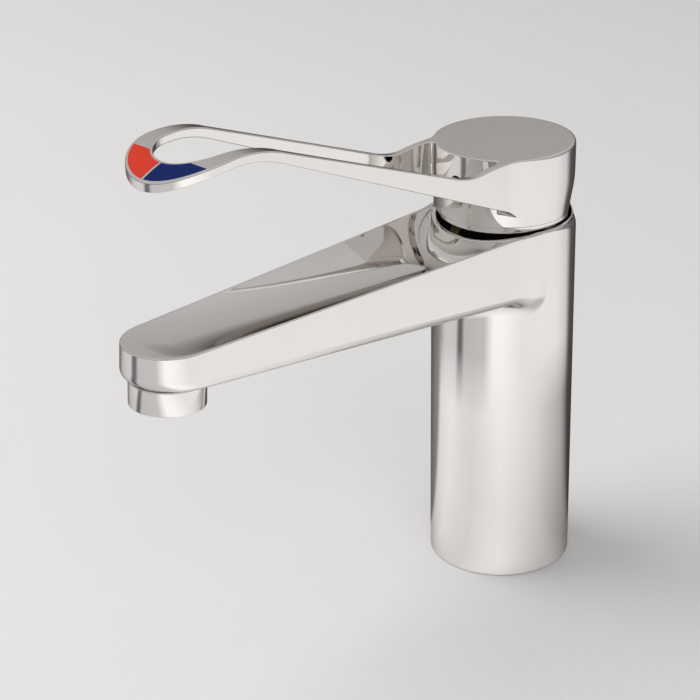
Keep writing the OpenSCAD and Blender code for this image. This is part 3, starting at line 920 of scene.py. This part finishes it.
finishes = {
    "brass": grained("turned_brass", (0.62, 0.44, 0.17), (0.72, 0.54, 0.25), 0.2, 2500, 0.00002, 1.0),
    "black_rubber": grained("black_rubber", (0.018, 0.018, 0.019), (0.03, 0.03, 0.03), 0.6, 1500, 0.00006),
    "black_plastic": grained("black_plastic", (0.006, 0.006, 0.006), (0.010, 0.010, 0.010), 0.55, 1800,
                             0.00004, shine=0.1),
    "red_plastic": grained("red_plastic", (0.45, 0.03, 0.025), (0.52, 0.045, 0.035), 0.4, 1800, 0.00004),
    "pale_plastic": grained("pale_plastic", (0.66, 0.65, 0.62), (0.72, 0.71, 0.68), 0.4, 1800, 0.00004),
    "ceramic": grained("ceramic", (0.78, 0.77, 0.73), (0.84, 0.83, 0.8), 0.12, 4000, 0.00001),
    "steel": grained("steel", (0.5, 0.5, 0.51), (0.58, 0.58, 0.59), 0.22, 3000, 0.00002, 1.0),
    "grey_plastic": grained("grey_plastic", (0.2, 0.2, 0.205), (0.26, 0.26, 0.265), 0.42, 1800, 0.00004)}
print("inner finishes:", ", ".join(sorted(finishes)))

# %% Give every inner piece its finish
inner = {
    "brass": ("clamp_nut", "spindle"),
    "black_rubber": ("base_gasket", "port_seals", "disc_seal", "aerator_seal"),
    # The cartridge housing is pale plastic; its black here is painted shade for the gap under the hub
    "black_plastic": ("gap_ring", "cartridge_housing"),
    "red_plastic": ("stop_ring",),
    "pale_plastic": ("cartridge_base", "spindle_guide", "slip_washer", "disc_driver"),
    "ceramic": ("fixed_disc", "moving_disc"),
    "steel": ("pivot_pin", "set_screw"),
    "grey_plastic": ("lever_insert", "aerator_insert", "flow_regulator")}
for slot, nodes in inner.items():
    for node in nodes:
        mesh = frame["nodes"][node].data
        mesh.materials.clear()
        mesh.materials.append(finishes[slot])
print("finished", sum(len(nodes) for nodes in inner.values()), "inner pieces")

# %% [markdown]
# ## The stream grid
#
# Under the aerator the water leaves through a plate full of small holes. The holes stand in rings, six more
# in each, so they follow a rule. Each ring is a circle of points with a drill on every point, and the drills
# are taken out of the plate.

# %% Drill the grid
grid_sizes = {"Grid radius": 9.55 * MM, "Grid height": 2.0 * MM, "Hole radius": 0.85 * MM,
              "Ring step": 2.45 * MM, "Lip height": 1.4 * MM}
tree, size = new_tree("drilled_grid", grid_sizes)
blank = Wire(tree)
disc = {"Vertices": 96, "Radius": size["Grid radius"], "Depth": size["Grid height"]}
plate = blank.node("GeometryNodeMeshCylinder", sockets=disc)
hole = {"Vertices": 20, "Radius": size["Hole radius"], "Depth": size["Grid height"] * 2}
drill = blank.node("GeometryNodeMeshCylinder", sockets=hole)
plate = plate.node("GeometryNodeMeshBoolean", {"solver": "EXACT"}, {0: plate, 1: drill})
for number in (1, 2, 3):
    places = {"Vertices": 6 * number, "Radius": size["Ring step"] * number}
    circle = blank.node("GeometryNodeMeshCircle", sockets=places)
    drills = circle.node("GeometryNodeInstanceOnPoints", sockets={"Points": circle, "Instance": drill})
    drills = drills.node("GeometryNodeRealizeInstances", sockets={0: drills})
    plate = plate.node("GeometryNodeMeshBoolean", {"solver": "EXACT"}, {0: plate, 1: drills})
middle = blank.node("ShaderNodeCombineXYZ", sockets={"Z": size["Lip height"] + size["Grid height"] * 0.5})
plate = plate.node("GeometryNodeTransform", sockets={"Geometry": plate, "Translation": middle})
end_tree(at_outlet(plate), finishes["grey_plastic"])
stream_grid = made_by("stream_plate", tree, grid_sizes)
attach(stream_grid, "tap")
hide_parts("stream_grid")

# %% [markdown]
# ## The stage
#
# Polished metal shows the room and little else. A photographer would lay cards round a tap, white ones for
# clean flanks and dark ones for crisp edges. Here no cards stand, and the floor's colour paints those
# reflections instead. For the eye it is one pale tone, but a ray that comes from a shiny surface sees painted
# grey and white reflection sectors, one set near the tap and one further out.
# A second, wider floor lies a hair below, so that views from low down don't see where the first one ends.
# The tops look up at the room, which is a soft grey that is darkest at the horizon, so every top edge gets a
# fine dark line. The camera stands in front and to the right, above the tap, with a long lens.

# %% Floor
# Places round the tap, from 0 to 1 for one full turn, and the grey of the painted reflection there
near_painted_reflections = [(0, 0.26), (0.04, 0.28), (0.065, 0.82), (0.14, 0.82), (0.2, 0.72), (0.25, 0.7), (0.32, 0.88),
              (0.365, 0.95), (0.45, 0.88), (0.52, 0.82), (0.59, 0.65), (0.66, 0.5), (0.69, 0.3),
              (0.72, 0.06), (0.85, 0.05), (0.93, 0.16), (1, 0.26)]
far_painted_reflections = [(0, 0.2), (0.03, 0.22), (0.05, 0.3), (0.09, 0.58), (0.155, 0.55), (0.17, 0.1), (0.185, 0.1),
             (0.2, 0.46), (0.29, 0.52), (0.33, 0.97), (0.37, 0.97), (0.45, 0.86), (0.55, 0.94),
             (0.62, 0.95), (0.69, 0.8), (0.73, 0.1), (0.85, 0.07), (0.93, 0.13), (1, 0.2)]
near_end = 0.15
far_start = 0.21


def floor_with_painted_reflections():
    """One pale tone for the eye; metal sees the painted reflection greys instead."""
    material, wire, place = start("pale_floor")
    pale = two_tone(noise(place, 6), (0.68, 0.672, 0.66), (0.70, 0.692, 0.68))
    around = place.node("ShaderNodeTexGradient", {"gradient_type": "RADIAL"}, {0: place}, output="Fac")
    near = around.node("ShaderNodeValToRGB", {"stops": near_painted_reflections}, {0: around})
    far = around.node("ShaderNodeValToRGB", {"stops": far_painted_reflections}, {0: around})
    away = place.node("ShaderNodeVectorMath", {"operation": "LENGTH"}, {0: place}, output="Value")
    span = {"Value": away, "From Min": near_end, "From Max": far_start}
    share = away.node("ShaderNodeMapRange", sockets=span)
    glossy_ray = wire.node("ShaderNodeLightPath", output="Is Glossy Ray")
    return close(material, wire, {
        # Glossy rays see painted reflection greys here in place of the pale floor
        "Base Color": two_tone(glossy_ray, pale, two_tone(share, near, far)),
        "Roughness": 0.45 + noise(place, 300) * 0.05})


floor_and_painted_reflections = floor_with_painted_reflections()
print("floor:", len(near_painted_reflections), "stops near the tap and", len(far_painted_reflections), "further out")


# %% Lay the floor
def laid(name, half, height):
    corners = [(-half, -half, height), (half, -half, height), (half, half, height), (-half, half, height)]
    mesh = bpy.data.meshes.new(name)
    mesh.from_pydata(corners, [], [(0, 1, 2, 3)])
    mesh.materials.append(floor_and_painted_reflections)
    square = bpy.data.objects.new(name, mesh)
    bpy.context.scene.collection.objects.link(square)
    print(name, 2 * half, "m wide")
    return square


laid("floor", 1.3, 0)
laid("far_floor", 8, -0.0005).visible_glossy = False

# %% Room light
world = bpy.data.worlds.new("room")
bpy.context.scene.world = world
world.use_nodes = True
world.node_tree.nodes.clear()
room = Wire(world.node_tree)
direction = room.node("ShaderNodeTexCoord", output="Generated")
height = room.node("ShaderNodeSeparateXYZ", sockets={0: direction}, output="Z")
room_greys = [(0, 0.15), (0.3, 0.53), (0.6, 0.5), (1, 0.6)]
grey = room.node("ShaderNodeValToRGB", {"stops": room_greys}, {0: height})
camera_ray = room.node("ShaderNodeLightPath", output="Is Camera Ray")
sky = room.node("ShaderNodeBackground", sockets={"Color": two_tone(camera_ray, grey, (0.7, 0.695, 0.69))})
room.node("ShaderNodeOutputWorld", sockets={"Surface": sky})
print("room light:", len(world.node_tree.nodes), "nodes")


# %% Lamps
lit_spot = Vector((0, -0.05, 0.08))


def lamp(name, at, size, power):
    data = bpy.data.lights.new(name, "AREA")
    data.shape = "DISK"
    data.size = size
    data.energy = power
    light = bpy.data.objects.new(name, data)
    light.location = at
    light.visible_glossy = False
    light.rotation_euler = (lit_spot - Vector(at)).to_track_quat("-Z", "Y").to_euler()
    bpy.context.scene.collection.objects.link(light)
    print(name, "lamp,", power, "W")


lamp("key", (-0.9, -0.7, 1.3), 1.8, 23)
lamp("fill", (1.2, -0.9, 0.9), 1.4, 8)

# %% Camera
camera_at = Vector((420.9, -479.8, 371.7)) * MM
heading = math.radians(46.03)
dip = math.radians(24.79)
roll = math.radians(-1.13)
photo_width = 700
focal_pixels = 2001
ahead = Vector((-math.sin(heading) * math.cos(dip), math.cos(heading) * math.cos(dip), -math.sin(dip)))
level = Vector((math.cos(heading), math.sin(heading), 0))
upright = level.cross(ahead)
right = level * math.cos(roll) + upright * math.sin(roll)
up = upright * math.cos(roll) - level * math.sin(roll)
camera_data = bpy.data.cameras.new("camera")
camera_data.sensor_width = 36
camera_data.lens = camera_data.sensor_width * focal_pixels / photo_width
camera = bpy.data.objects.new("camera", camera_data)
camera_turn = Matrix((right, up, -ahead)).transposed().to_4x4()
camera.matrix_world = Matrix.Translation(camera_at) @ camera_turn
bpy.context.scene.collection.objects.link(camera)
bpy.context.scene.camera = camera
bpy.context.scene.view_settings.view_transform = "Standard"
print("camera", round(camera_at.length, 3), "m from the base, lens", round(camera_data.lens, 1), "mm")
